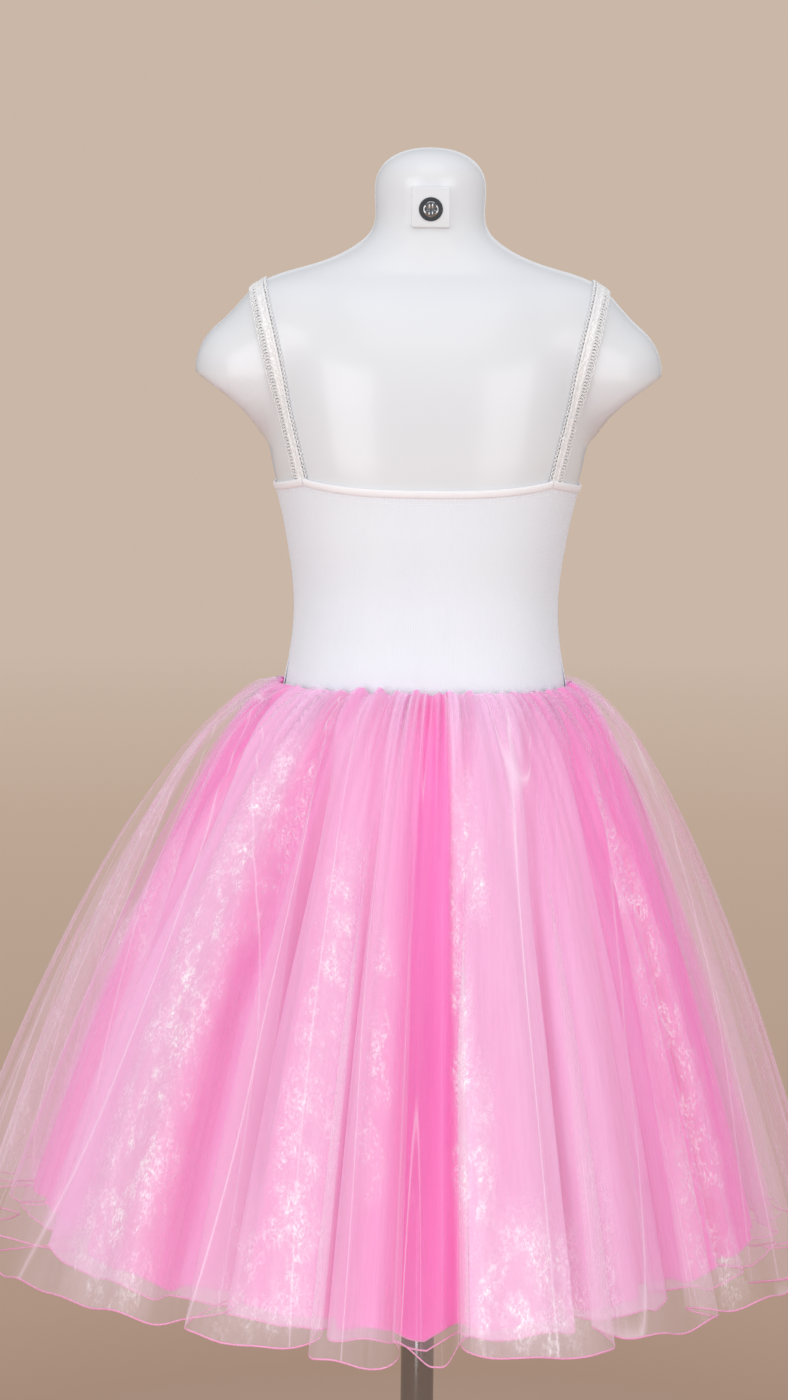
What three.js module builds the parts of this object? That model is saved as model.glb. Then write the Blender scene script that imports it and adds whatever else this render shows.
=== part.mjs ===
// A ballet tutu dress on a child's limbless torso form and its floor stand.
// Millimetres, +Z up. The origin is on the floor under the stand, the back of
// the dress faces -Y and the wearer's right-hand side faces +X.
import * as THREE from "three";

// ---- Driving dimensions ----

const seamGap = 0.3; // between two pieces that meet

const stand = {
  baseRadius: 140,
  baseThickness: 6,
  edgeBevel: 1.5,
  hubRadius: 20,
  hubHeight: 24,
  poleRadius: 11.5,
};

const form = {
  bottom: 430,
  domeStart: 969,
  top: 997,
  domePower: 2.3, // 2 would be a plain ellipse
  trunkPower: 2.25, // roundness of the trunk's sections, 2 is an ellipse
  neckPower: 2,
  trunkEnd: 890, // the sections turn from trunk to neck between these heights
  neckStart: 935,
  sides: 48,
  domeSteps: 5,
};
// Heights of the form's rings below the dome: from, to and step.
const formRings = [
  [form.bottom, 790, 30],
  [790, 934, 8],
  [934, form.domeStart, 9],
];
const farOut = 220; // beyond the form from any point inside it

// Trunk from hip to neck: height, half width, back and front depth.
const trunkStations = [
  [430, 101, -78, 70],
  [500, 109, -90, 77],
  [570, 105, -85, 83],
  [631, 94, -71, 83],
  [690, 88.5, -66, 80],
  [740, 94.5, -72, 79],
  [790, 106, -78, 80],
  [840, 112, -76, 74],
  [880, 112, -63, 60],
  [901, 108, -50, 49],
  [912, 92, -42, 46],
  [928, 56, -36, 43],
  [943, 39, -33, 42.5],
  [969, 37.5, -32, 43],
];

// The arm stubs are short round limbs, cut off square to this plane.
const shoulder = {
  start: [92, 0, 868],
  end: [121, 0, 848],
  startRadius: 38,
  endRadius: 36.5,
  cutPoint: [157, 0, 845],
  cutNormal: [0.577, 0, -0.817],
  blend: 22,
};

const cloth = {
  clear: 0.8, // from the form to the inside of the jersey
  thickness: 1.2,
};

const bodice = {
  meanRadius: 95,
  bottom: 626,
  frontFullness: 1.6, // the front is cut fuller below the waistline
  fullnessTop: 676,
  rows: 6,
};

const binding = { height: 5, clear: 0.6, thickness: 2.4 };

// The bodice's top edge, from strap to strap. Angles run from +X towards +Y.
const backStrapAngle = -32;
const frontStrapAngle = 42;
const topEdge = {
  backStrap: 775,
  frontStrap: 788,
  back: 768,
  underarm: 772,
  underarmAngle: -8,
  front: 770,
  neckPower: 3, // the neckline is flat in the middle and rises near the straps
  underarmPower: 2,
};

const strap = {
  topX: 115.5,
  topHeight: 906,
  pivotHeight: 790,
  backLean: 0.24, // sideways travel for each unit of height
  frontLean: 0.36,
  width: 13.5,
  steps: 18,
  lift: 0.6, // above the binding's edge
  clear: 1.8, // it bridges the hollow beside the arm stub
  probeDepth: 60, // from under the skin, to find it again along its normal
};

// Three gathered layers, sewn together at the waist.
const skirt = {
  top: 634,
  sway: 18, // the hem hangs this much towards -X
  hemTilt: 12, // and it is this much higher there than at the middle
  depthLoss: 8, // the hem is a little shallower than it is wide
  thickness: 1.4,
  layerGap: 0.6, // between layers where they are sewn together
  topStep: 1.6, // each layer's top edge is this much above the one inside it
  foldGrowth: 0.8, // power by which the folds deepen towards the hem
  foldSharpness: 1.4, // above 1 the flutes are broad and the folds narrow
  pointsPerFlute: 5,
  firstFold: -59.5, // degrees from the middle of the back to the first fold
  plainFlute: 22, // degrees between crests of flutes that fold in by their layer's depth
  deepest: 1.15, // most that wider flutes fold in, as a share of that
  leastFold: 0.08, // a fold goes in at least this much deeper than the crests beside it
  drops: [0, 0.03, 0.1, 0.24, 0.45, 0.7, 1],
};
const skirtLayers = [
  { name: "skirt_inner", hem: 265, hemRadius: 248, flare: 0.7, depth: 34, colour: 0xef6fb5 },
  { name: "skirt_middle", hem: 263, hemRadius: 265, flare: 0.68, depth: 41, colour: 0xf59fd0 },
  { name: "skirt_overlay", hem: 261, hemRadius: 302, flare: 0.6, depth: 50, colour: 0xfbd3e8 },
];
// Each flute round the skirt: its width in degrees at the hem, how far its crest
// sits in as a share of the depth, and how much higher its hem hangs.
const flutes = [
  [35.5, 0, 0], [15.5, 0.05, -3], [9.5, 0, -9], [9.5, 0.5, -17], [18.6, 0, -3], [17.4, 0.1, 1],
  [19, 0, 8], [18, 0.05, 12], [24, 0, 4], [20, 0.1, -3], [23, 0, 3], [19, 0.1, -2], [25, 0, 4],
  [22, 0, -2], [20, 0.1, 3], [24, 0, -3], [21, 0, 6], [19, 0.1, 12],
];

const neckPad = { width: 25.5, bottom: 941, middle: 957, top: 968, proud: 2.6, arcSteps: 6 };
const neckBolt = {
  height: 953,
  ringRadius: 7.9,
  ringThickness: 0.8,
  headRadius: 5.7,
  headHeight: 1.8,
  sides: 28,
};

// ---- Curves and small helpers ----

const radians = THREE.MathUtils.degToRad;

// Smooth curve through the stations of a table sorted by its first column.
function readStations(stations, height) {
  const last = stations.length - 1;
  const clamped = THREE.MathUtils.clamp(height, stations[0][0], stations[last][0]);
  let i = 0;
  while (i < last - 1 && clamped > stations[i + 1][0]) i++;
  const low = stations[i];
  const high = stations[i + 1];
  const before = stations[Math.max(i - 1, 0)];
  const after = stations[Math.min(i + 2, last)];
  const span = high[0] - low[0];
  const t = (clamped - low[0]) / span;
  return low.map((value, column) => {
    const startSlope = (high[column] - before[column]) / (high[0] - before[0]);
    const endSlope = (after[column] - value) / (after[0] - low[0]);
    const blend = t * t * (3 - 2 * t);
    const startPull = t * (1 - t) * (1 - t) * startSlope * span;
    const endPull = t * t * (t - 1) * endSlope * span;
    return value + (high[column] - value) * blend + startPull + endPull;
  });
}

function smoothMin(a, b, blend) {
  const t = THREE.MathUtils.clamp(0.5 + (0.5 * (b - a)) / blend, 0, 1);
  return b + (a - b) * t - blend * t * (1 - t);
}

// Joins sections of the same point count into one closed, outward solid.
function joinSections(sections, closed) {
  const count = sections[0].length;
  const points = sections.flat();
  const faces = [];
  const links = closed ? sections.length : sections.length - 1;
  for (let s = 0; s < links; s++) {
    const here = s * count;
    const next = ((s + 1) % sections.length) * count;
    for (let i = 0; i < count; i++) {
      const j = (i + 1) % count;
      faces.push([here + i, next + i, next + j], [here + i, next + j, here + j]);
    }
  }
  if (!closed) {
    const end = (sections.length - 1) * count;
    for (let i = 0; i < count / 2 - 1; i++) {
      const across = count - 1 - i;
      faces.push([i, i + 1, across - 1], [i, across - 1, across]);
      faces.push([end + i, end + across - 1, end + i + 1], [end + i, end + across, end + across - 1]);
    }
  }
  const solid = faces.filter(([a, b, c]) => a !== b && b !== c && a !== c);
  const volume = solid.reduce((sum, [a, b, c]) => {
    return sum + points[a].dot(points[b].clone().cross(points[c]));
  }, 0);
  const outward = volume > 0 ? solid : solid.map(([a, b, c]) => [a, c, b]);
  const geometry = new THREE.BufferGeometry().setFromPoints(points);
  geometry.setIndex(outward.flat());
  geometry.computeVertexNormals();
  return geometry;
}

function addPiece(group, name, geometry, material) {
  const mesh = new THREE.Mesh(geometry, material);
  mesh.name = name;
  group.add(mesh);
  return mesh;
}

// ---- The torso form ----

// Below 0 inside the trunk, about the distance to its skin outside.
function trunkGap(x, y, z) {
  const [, halfWidth, back, front] = readStations(trunkStations, z);
  const dome = Math.max(0, (z - form.domeStart) / (form.top - form.domeStart));
  const shrink = Math.pow(Math.max(0, 1 - Math.pow(dome, form.domePower)), 1 / form.domePower);
  const neckShare = THREE.MathUtils.smoothstep(z, form.trunkEnd, form.neckStart);
  const power = THREE.MathUtils.lerp(form.trunkPower, form.neckPower, neckShare);
  const width = halfWidth * shrink;
  const depth = ((front - back) / 2) * shrink;
  const offset = y - (front + back) / 2;
  const sum = Math.pow(Math.abs(x) / width, power) + Math.pow(Math.abs(offset) / depth, power);
  return (Math.pow(sum, 1 / power) - 1) * Math.min(width, depth);
}

function stubGap(x, y, z) {
  const side = Math.abs(x);
  const [ax, ay, az] = shoulder.start;
  const [bx, by, bz] = shoulder.end;
  const length = (bx - ax) ** 2 + (by - ay) ** 2 + (bz - az) ** 2;
  const along = ((side - ax) * (bx - ax) + (y - ay) * (by - ay) + (z - az) * (bz - az)) / length;
  const t = THREE.MathUtils.clamp(along, 0, 1);
  const centre = [ax + (bx - ax) * t, ay + (by - ay) * t, az + (bz - az) * t];
  const radius = THREE.MathUtils.lerp(shoulder.startRadius, shoulder.endRadius, t);
  const limb = Math.hypot(side - centre[0], y - centre[1], z - centre[2]) - radius;
  const [nx, , nz] = shoulder.cutNormal;
  const cut = (side - shoulder.cutPoint[0]) * nx + (z - shoulder.cutPoint[2]) * nz;
  return Math.max(limb, cut);
}

function formGap(point) {
  const trunk = trunkGap(point.x, point.y, point.z);
  const stub = stubGap(point.x, point.y, point.z);
  return smoothMin(trunk, stub, shoulder.blend);
}

// Distance from a point inside the form to its skin, along a ray.
function reachSkin(origin, direction) {
  let inside = 0;
  let outside = farOut;
  for (let i = 0; i < 26; i++) {
    const middle = (inside + outside) / 2;
    const probe = origin.clone().addScaledVector(direction, middle);
    if (formGap(probe) < 0) inside = middle;
    else outside = middle;
  }
  return (inside + outside) / 2;
}

function formRadius(angle, height) {
  const direction = new THREE.Vector3(Math.cos(angle), Math.sin(angle), 0);
  return reachSkin(new THREE.Vector3(0, 0, height), direction);
}

function polar(angle, radius, height) {
  return new THREE.Vector3(radius * Math.cos(angle), radius * Math.sin(angle), height);
}

function formHeights() {
  const heights = [];
  for (const [from, to, step] of formRings) {
    for (let z = from; z < to - 0.01; z += step) heights.push(z);
  }
  for (let i = 0; i < form.domeSteps; i++) {
    const lift = Math.sin(((i / form.domeSteps) * Math.PI) / 2);
    heights.push(form.domeStart + (form.top - form.domeStart) * lift);
  }
  heights.push(form.top - 0.15);
  return heights;
}

function makeForm() {
  const sections = formHeights().map((height) => {
    const ring = [];
    for (let i = 0; i < form.sides; i++) {
      const angle = (i / form.sides) * 2 * Math.PI;
      ring.push(polar(angle, formRadius(angle, height), height));
    }
    return ring;
  });
  return joinSections(sections, false);
}

// A flat-faced pad on the back of the neck, its inner side bent to the skin.
function makeNeckPad() {
  const half = neckPad.width / 2;
  const faceY = -formRadius(-Math.PI / 2, neckPad.bottom) - neckPad.proud;
  const heights = [neckPad.bottom, neckPad.middle, neckPad.top];
  const sections = heights.map((height) => {
    const inner = [];
    const outer = [];
    for (let i = 0; i <= neckPad.arcSteps; i++) {
      const x = -half + (neckPad.width * i) / neckPad.arcSteps;
      const skin = -reachSkin(new THREE.Vector3(x, 0, height), new THREE.Vector3(0, -1, 0));
      inner.push(new THREE.Vector3(x, skin - seamGap, height));
      outer.unshift(new THREE.Vector3(x, faceY, height));
    }
    return [...inner, ...outer];
  });
  return joinSections(sections, false);
}

function boltFaceY() {
  return -formRadius(-Math.PI / 2, neckPad.bottom) - neckPad.proud - seamGap;
}

function latheOnNeck(profile) {
  const points = profile.map(([radius, out]) => new THREE.Vector2(radius, out));
  const geometry = new THREE.LatheGeometry(points, neckBolt.sides);
  geometry.rotateX(Math.PI); // the lathe's axis is +Y; the back of the neck faces -Y
  geometry.translate(0, boltFaceY(), neckBolt.height);
  return geometry;
}

function makeNeckRing() {
  const hole = neckBolt.headRadius + seamGap;
  return latheOnNeck([
    [hole, 0],
    [neckBolt.ringRadius, 0],
    [neckBolt.ringRadius, neckBolt.ringThickness],
    [hole, neckBolt.ringThickness],
    [hole, 0],
  ]);
}

function makeNeckBolt() {
  const { headRadius, headHeight } = neckBolt;
  return latheOnNeck([
    [0, 0],
    [headRadius, 0],
    [headRadius, headHeight * 0.45],
    [headRadius * 0.78, headHeight * 0.85],
    [headRadius * 0.4, headHeight],
    [0, headHeight],
  ]);
}

// ---- Stand ----

function standLathe(profile, sides) {
  const geometry = new THREE.LatheGeometry(profile.map(([r, z]) => new THREE.Vector2(r, z)), sides);
  geometry.rotateX(Math.PI / 2);
  return geometry;
}

function makeBase() {
  const { baseRadius, baseThickness, edgeBevel, hubRadius, hubHeight, poleRadius } = stand;
  const bore = poleRadius + seamGap;
  return standLathe([
    [0, 0],
    [baseRadius - edgeBevel, 0],
    [baseRadius, edgeBevel],
    [baseRadius, baseThickness - edgeBevel],
    [baseRadius - edgeBevel, baseThickness],
    [hubRadius + edgeBevel, baseThickness],
    [hubRadius, baseThickness + edgeBevel],
    [hubRadius, hubHeight - edgeBevel],
    [hubRadius - edgeBevel, hubHeight],
    [bore, hubHeight],
    [bore, baseThickness],
    [0, baseThickness],
  ], 48);
}

function makePole() {
  const from = stand.baseThickness + seamGap;
  const to = form.bottom - seamGap;
  return standLathe([[0, from], [stand.poleRadius, from], [stand.poleRadius, to], [0, to]], 32);
}

// ---- Bodice ----

// Height of the bodice's top edge; the two sides mirror each other.
function topEdgeHeight(angle) {
  const wrapped = Math.asin(Math.sin(angle)) * THREE.MathUtils.RAD2DEG;
  const { backStrap, frontStrap, underarmAngle } = topEdge;
  const climb = (low, high, share, power) => low + (high - low) * Math.pow(share, power);
  if (wrapped <= backStrapAngle) {
    const share = (wrapped + 90) / (backStrapAngle + 90);
    return climb(topEdge.back, backStrap, share, topEdge.neckPower);
  }
  if (wrapped <= underarmAngle) {
    const share = (underarmAngle - wrapped) / (underarmAngle - backStrapAngle);
    return climb(topEdge.underarm, backStrap, share, topEdge.underarmPower);
  }
  if (wrapped <= frontStrapAngle) {
    const share = (wrapped - underarmAngle) / (frontStrapAngle - underarmAngle);
    return climb(topEdge.underarm, frontStrap, share, topEdge.underarmPower);
  }
  const share = (90 - wrapped) / (90 - frontStrapAngle);
  return climb(topEdge.front, frontStrap, share, topEdge.neckPower);
}

// Angles of the form's facets between two angles, with both ends kept.
function anglesBetween(from, to) {
  const step = 360 / form.sides;
  const angles = [from];
  for (let a = Math.ceil(from / step) * step; a < to; a += step) {
    if (a > from + 0.5 && a < to - 0.5) angles.push(a);
  }
  angles.push(to);
  return angles.map(radians);
}

function bodiceSkin(angle, height, isFront) {
  const below = THREE.MathUtils.clamp(
    (bodice.fullnessTop - height) / (bodice.fullnessTop - bodice.bottom), 0, 1);
  const fullness = isFront ? bodice.frontFullness * below : 0;
  return formRadius(angle, height) + cloth.clear + fullness;
}

// Angles from one seam to the next, each end half the seam's gap short.
function seamToSeam(from, to) {
  const halfGap = (seamGap / 2 / bodice.meanRadius) * THREE.MathUtils.RAD2DEG;
  return anglesBetween(from + halfGap, to - halfGap);
}

function makeBodicePanel(from, to, isFront) {
  const sections = seamToSeam(from, to).map((angle) => {
    const top = topEdgeHeight(angle) - binding.height - seamGap;
    const inner = [];
    const outer = [];
    for (let row = 0; row <= bodice.rows; row++) {
      const height = THREE.MathUtils.lerp(bodice.bottom, top, row / bodice.rows);
      const radius = bodiceSkin(angle, height, isFront);
      inner.push(polar(angle, radius, height));
      outer.unshift(polar(angle, radius + cloth.thickness, height));
    }
    return [...inner, ...outer];
  });
  return joinSections(sections, false);
}

function makeBinding(from, to) {
  const sections = seamToSeam(from, to).map((angle) => {
    const top = topEdgeHeight(angle);
    const bottom = top - binding.height;
    const foot = formRadius(angle, bottom) + binding.clear;
    const head = formRadius(angle, top) + binding.clear;
    return [
      polar(angle, foot, bottom),
      polar(angle, head, top),
      polar(angle, head + binding.thickness, top),
      polar(angle, foot + binding.thickness, bottom),
    ];
  });
  return joinSections(sections, false);
}

// ---- Straps ----

function strapRay(turn, side) {
  const lean = turn < Math.PI / 2 ? strap.backLean : strap.frontLean;
  const rise = strap.topHeight - strap.pivotHeight;
  const origin = new THREE.Vector3(side * (strap.topX - lean * rise), 0, strap.pivotHeight);
  const direction = new THREE.Vector3(side * lean * Math.sin(turn), -Math.cos(turn), Math.sin(turn));
  return { origin, direction };
}

function strapPoint(turn, side) {
  const { origin, direction } = strapRay(turn, side);
  return origin.addScaledVector(direction, reachSkin(origin, direction));
}

function skinNormal(point) {
  const step = 0.5;
  const slope = (axis) => {
    const ahead = formGap(point.clone().addScaledVector(axis, step));
    return ahead - formGap(point.clone().addScaledVector(axis, -step));
  };
  const x = slope(new THREE.Vector3(1, 0, 0));
  const y = slope(new THREE.Vector3(0, 1, 0));
  const z = slope(new THREE.Vector3(0, 0, 1));
  return new THREE.Vector3(x, y, z).normalize();
}

// The turn at which the strap reaches a height, on the back or the front.
function strapTurnAt(height, isFront, side) {
  let low = isFront ? Math.PI / 2 : -0.6;
  let high = isFront ? Math.PI + 0.6 : Math.PI / 2;
  for (let i = 0; i < 30; i++) {
    const middle = (low + high) / 2;
    const above = strapPoint(middle, side).z > height;
    if (above === isFront) low = middle;
    else high = middle;
  }
  return (low + high) / 2;
}

function pointOnSkin(point, normal) {
  const origin = point.clone().addScaledVector(normal, -strap.probeDepth);
  return origin.clone().addScaledVector(normal, reachSkin(origin, normal));
}

function makeStrap(side) {
  const start = strapTurnAt(topEdge.backStrap + strap.lift, false, side);
  const end = strapTurnAt(topEdge.frontStrap + strap.lift, true, side);
  const across = [-0.5, -0.25, 0, 0.25, 0.5];
  const sections = [];
  for (let i = 0; i <= strap.steps; i++) {
    const turn = THREE.MathUtils.lerp(start, end, i / strap.steps);
    const centre = strapPoint(turn, side);
    const ahead = strapPoint(Math.min(turn + 0.02, end), side);
    const behind = strapPoint(Math.max(turn - 0.02, start), side);
    const normal = skinNormal(centre);
    const along = ahead.sub(behind).normalize();
    const sideways = new THREE.Vector3().crossVectors(along, normal).normalize();
    const isEnd = i === 0 || i === strap.steps;
    if (isEnd) sideways.setZ(0).normalize(); // the cut ends are level
    const inner = [];
    const outer = [];
    for (const share of across) {
      const spot = centre.clone().addScaledVector(sideways, share * strap.width);
      const skin = pointOnSkin(spot, normal);
      inner.push(skin.clone().addScaledVector(normal, strap.clear));
      outer.unshift(skin.clone().addScaledVector(normal, strap.clear + cloth.thickness));
    }
    sections.push([...inner, ...outer]);
  }
  return joinSections(sections, false);
}

// ---- Skirt ----

// How far the cloth goes in at the fold before each flute, as a share of the depth.
function valleyDepths() {
  return flutes.map(([width, sink], k) => {
    const [widthBefore, sinkBefore] = flutes.at(k - 1);
    const between = (width + widthBefore) / 2;
    const share = Math.min(skirt.deepest, between / skirt.plainFlute);
    return Math.max(share, Math.max(sink, sinkBefore) + skirt.leastFold);
  });
}

// Angles round the skirt, with how far the cloth folds in and hangs higher there.
function fluteSamples() {
  const samples = [];
  const valleys = valleyDepths();
  const total = flutes.reduce((sum, [width]) => sum + width, 0);
  let start = -90 + skirt.firstFold;
  flutes.forEach(([width, sink, rise], k) => {
    const degrees = (width / total) * 360;
    for (let i = 0; i < skirt.pointsPerFlute; i++) {
      const t = i / skirt.pointsPerFlute;
      const valley = t < 0.5 ? valleys[k] : valleys[(k + 1) % flutes.length];
      const inward = Math.pow(0.5 + 0.5 * Math.cos(2 * Math.PI * t), skirt.foldSharpness);
      const fold = THREE.MathUtils.lerp(sink, valley, inward);
      samples.push({ angle: radians(start + degrees * t), fold, lift: rise * (1 - inward) });
    }
    start += degrees;
  });
  return samples;
}

function skirtPoint(layer, { angle, fold, lift }, drop) {
  const hemHeight = layer.hem + lift - skirt.hemTilt * Math.cos(angle);
  const layersInside = skirtLayers.indexOf(layer);
  const top = skirt.top + layersInside * skirt.topStep;
  const height = THREE.MathUtils.lerp(top, hemHeight, drop);
  const seat = bodiceSkin(angle, skirt.top, true) + cloth.thickness;
  const waist = seat + (layersInside + 1) * (skirt.thickness + skirt.layerGap);
  const hem = layer.hemRadius - skirt.depthLoss * Math.sin(angle) ** 2;
  const flare = Math.pow(drop, layer.flare);
  const depth = layer.depth * Math.pow(drop, skirt.foldGrowth) * fold;
  const point = polar(angle, THREE.MathUtils.lerp(waist, hem, flare) - depth, height);
  point.x -= skirt.sway * flare;
  return point;
}

function makeSkirtLayer(layer) {
  const columns = fluteSamples().map((sample) => {
    return skirt.drops.map((drop) => skirtPoint(layer, sample, drop));
  });
  const last = skirt.drops.length - 1;
  const sections = columns.map((column, i) => {
    const before = columns[(i + columns.length - 1) % columns.length];
    const after = columns[(i + 1) % columns.length];
    const inner = column.map((point, j) => {
      const around = after[j].clone().sub(before[j]);
      const down = column[Math.min(j + 1, last)].clone().sub(column[Math.max(j - 1, 0)]);
      const inward = around.cross(down).normalize();
      return point.clone().addScaledVector(inward, skirt.thickness);
    });
    return [...column, ...inner.reverse()];
  });
  return joinSections(sections, true);
}

// ---- Assembly ----

const formPlastic = new THREE.MeshStandardMaterial({ color: 0xe9e8e9, roughness: 0.25 });
const jersey = new THREE.MeshStandardMaterial({ color: 0xf3f1f6, roughness: 0.9 });
const elastic = new THREE.MeshStandardMaterial({ color: 0xfafafa, roughness: 0.8 });
const chrome = new THREE.MeshStandardMaterial({ color: 0xc8cacd, roughness: 0.15, metalness: 1 });
const darkRubber = new THREE.MeshStandardMaterial({ color: 0x3a4046, roughness: 0.6 });

const tutu = new THREE.Group();

addPiece(tutu, "stand_base", makeBase(), chrome);
addPiece(tutu, "stand_pole", makePole(), chrome);
addPiece(tutu, "torso_form", makeForm(), formPlastic);
addPiece(tutu, "neck_pad", makeNeckPad(), formPlastic);
addPiece(tutu, "neck_ring", makeNeckRing(), darkRubber);
addPiece(tutu, "neck_bolt", makeNeckBolt(), chrome);

addPiece(tutu, "bodice_back", makeBodicePanel(-180, 0, false), jersey);
addPiece(tutu, "bodice_front", makeBodicePanel(0, 180, true), jersey);

addPiece(tutu, "binding_back", makeBinding(-180 - backStrapAngle, backStrapAngle), elastic);
addPiece(tutu, "binding_underarm_right", makeBinding(backStrapAngle, frontStrapAngle), elastic);
addPiece(tutu, "binding_front", makeBinding(frontStrapAngle, 180 - frontStrapAngle), elastic);
addPiece(tutu, "binding_underarm_left",
  makeBinding(180 - frontStrapAngle, 180 - backStrapAngle), elastic);

addPiece(tutu, "strap_right", makeStrap(1), elastic);
addPiece(tutu, "strap_left", makeStrap(-1), elastic);

for (const layer of skirtLayers) {
  const organza = new THREE.MeshStandardMaterial({ color: layer.colour, roughness: 0.5 });
  addPiece(tutu, layer.name, makeSkirtLayer(layer), organza);
}

export default tutu;
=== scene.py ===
import bpy, bmesh, math
import numpy as np
from mathutils import Matrix, Quaternion, Vector, noise


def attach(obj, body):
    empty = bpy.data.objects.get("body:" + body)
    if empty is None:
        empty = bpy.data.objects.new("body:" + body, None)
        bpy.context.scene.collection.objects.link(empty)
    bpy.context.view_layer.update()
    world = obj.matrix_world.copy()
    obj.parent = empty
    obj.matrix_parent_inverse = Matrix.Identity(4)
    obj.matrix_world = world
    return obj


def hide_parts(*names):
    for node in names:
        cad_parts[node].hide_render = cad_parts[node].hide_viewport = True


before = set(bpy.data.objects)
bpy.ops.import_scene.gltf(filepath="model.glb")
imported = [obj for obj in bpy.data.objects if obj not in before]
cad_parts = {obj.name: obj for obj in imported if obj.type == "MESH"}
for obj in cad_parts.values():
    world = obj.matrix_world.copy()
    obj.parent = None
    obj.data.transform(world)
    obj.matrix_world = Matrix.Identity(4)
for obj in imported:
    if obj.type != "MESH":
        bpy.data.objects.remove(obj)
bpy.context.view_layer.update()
print("frame loaded")

mm = 0.001  # the shapes below are worked out in millimetres
weldReach = {"profile": 0.000005, "thread": 0.00001, "grid": 0.00002}  # metres
scene = bpy.context.scene


# colours and node helpers

def colour(red, green, blue):
    # screen colour, 0 to 255, as the linear one that shaders take
    channels = [red / 255, green / 255, blue / 255]
    return tuple(c / 12.92 if c <= 0.04045 else ((c + 0.055) / 1.055) ** 2.4 for c in channels) + (1,)


def newMaterial(name):
    material = bpy.data.materials.new(name)
    material.use_nodes = True
    material.node_tree.nodes.clear()
    return material, material.node_tree


def addNode(tree, kind, **settings):
    node = tree.nodes.new(kind)
    for key, value in settings.items():
        setattr(node, key, value)
    return node


def setInputs(node, values):
    for key, value in values.items():
        node.inputs[key].default_value = value
    return node


def mathNode(tree, operation, first, second=None, third=None):
    node = addNode(tree, "ShaderNodeMath", operation=operation)
    for socket, value in zip(node.inputs, (first, second, third)):
        if value is None:
            continue
        if isinstance(value, (int, float)):
            socket.default_value = value
        else:
            tree.links.new(value, socket)
    return node.outputs[0]


def addShares(tree, value, shares):
    for source, share in shares:
        value = mathNode(tree, "MULTIPLY_ADD", source, share, value)
    return value


def clampNode(tree, value, least, most):
    return mathNode(tree, "MINIMUM", mathNode(tree, "MAXIMUM", value, least), most)


def rampNode(tree, source, stops):
    node = addNode(tree, "ShaderNodeValToRGB")
    elements = node.color_ramp.elements
    while len(elements) < len(stops):
        elements.new(0.5)
    for element, (position, shade) in zip(elements, stops):
        element.position = position
        element.color = shade if hasattr(shade, "__len__") else (shade, shade, shade, 1)
    tree.links.new(source, node.inputs[0])
    return node.outputs[0]


def mixColour(tree, factor, first, second):
    node = addNode(tree, "ShaderNodeMix", data_type="RGBA")
    for socket, value in zip((node.inputs[0], node.inputs[6], node.inputs[7]), (factor, first, second)):
        if isinstance(value, (int, float, tuple)):
            socket.default_value = value
        else:
            tree.links.new(value, socket)
    return node.outputs[2]


def patternSpace(tree, output, scale=(1, 1, 1)):
    coordinates = addNode(tree, "ShaderNodeTexCoord")
    mapping = addNode(tree, "ShaderNodeMapping")
    mapping.inputs["Scale"].default_value = scale
    tree.links.new(coordinates.outputs[output], mapping.inputs[0])
    return mapping.outputs[0]


def noiseNode(tree, space, scale, detail=3, roughness=0.5, distortion=0.0):
    node = addNode(tree, "ShaderNodeTexNoise")
    setInputs(node, {"Scale": scale, "Detail": detail, "Roughness": roughness, "Distortion": distortion})
    tree.links.new(space, node.inputs["Vector"])
    return node.outputs["Fac"]


def bumpNode(tree, height, strength, distance):
    node = addNode(tree, "ShaderNodeBump")
    setInputs(node, {"Strength": strength, "Distance": distance})
    tree.links.new(height, node.inputs["Height"])
    return node.outputs["Normal"]


def cellNode(tree, space, scale):
    node = addNode(tree, "ShaderNodeTexVoronoi", feature="F1")
    node.inputs["Scale"].default_value = scale
    tree.links.new(space, node.inputs["Vector"])
    return node


def nearHalf(tree, source, reach):
    # 1 where the source crosses one half, falling to 0 at this reach from it
    offset = mathNode(tree, "ABSOLUTE", mathNode(tree, "SUBTRACT", source, 0.5))
    return rampNode(tree, offset, [(0.0, 1.0), (reach, 0.0)])


def attributeNode(tree, name):
    return addNode(tree, "ShaderNodeAttribute", attribute_name=name).outputs["Fac"]


def finishMaterial(tree, values, links):
    shader = setInputs(addNode(tree, "ShaderNodeBsdfPrincipled"), values)
    output = addNode(tree, "ShaderNodeOutputMaterial")
    for key, source in links.items():
        tree.links.new(source, shader.inputs[key])
    tree.links.new(shader.outputs[0], output.inputs[0])
    return shader


# making pieces

def makePiece(name, bm, material, nodes=()):
    mesh = bpy.data.meshes.new(name)
    bm.to_mesh(mesh)
    bm.free()
    mesh.shade_smooth()
    mesh.materials.append(material)
    piece = bpy.data.objects.new(name, mesh)
    scene.collection.objects.link(piece)
    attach(piece, "root")
    if nodes:
        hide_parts(*nodes)
    return piece


def spreadGrid(across, down, place, wrapped=False):
    # a flat grid with its UVs, laid over the shape that place(u, v) gives in millimetres
    bm = bmesh.new()
    bm.loops.layers.uv.new("UVMap")
    bmesh.ops.create_grid(bm, x_segments=across, y_segments=down, size=0.5, calc_uvs=True)
    flat = np.array([vert.co for vert in bm.verts])
    points, marks = place(flat[:, 0] + 0.5, flat[:, 1] + 0.5)
    layers = {key: bm.verts.layers.float.new(key) for key in marks}
    for i, vert in enumerate(bm.verts):
        vert.co = points[i] * mm
        for key, layer in layers.items():
            vert[layer] = marks[key][i]
    if wrapped:
        bmesh.ops.remove_doubles(bm, verts=bm.verts, dist=weldReach["grid"])
    return bm


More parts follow.
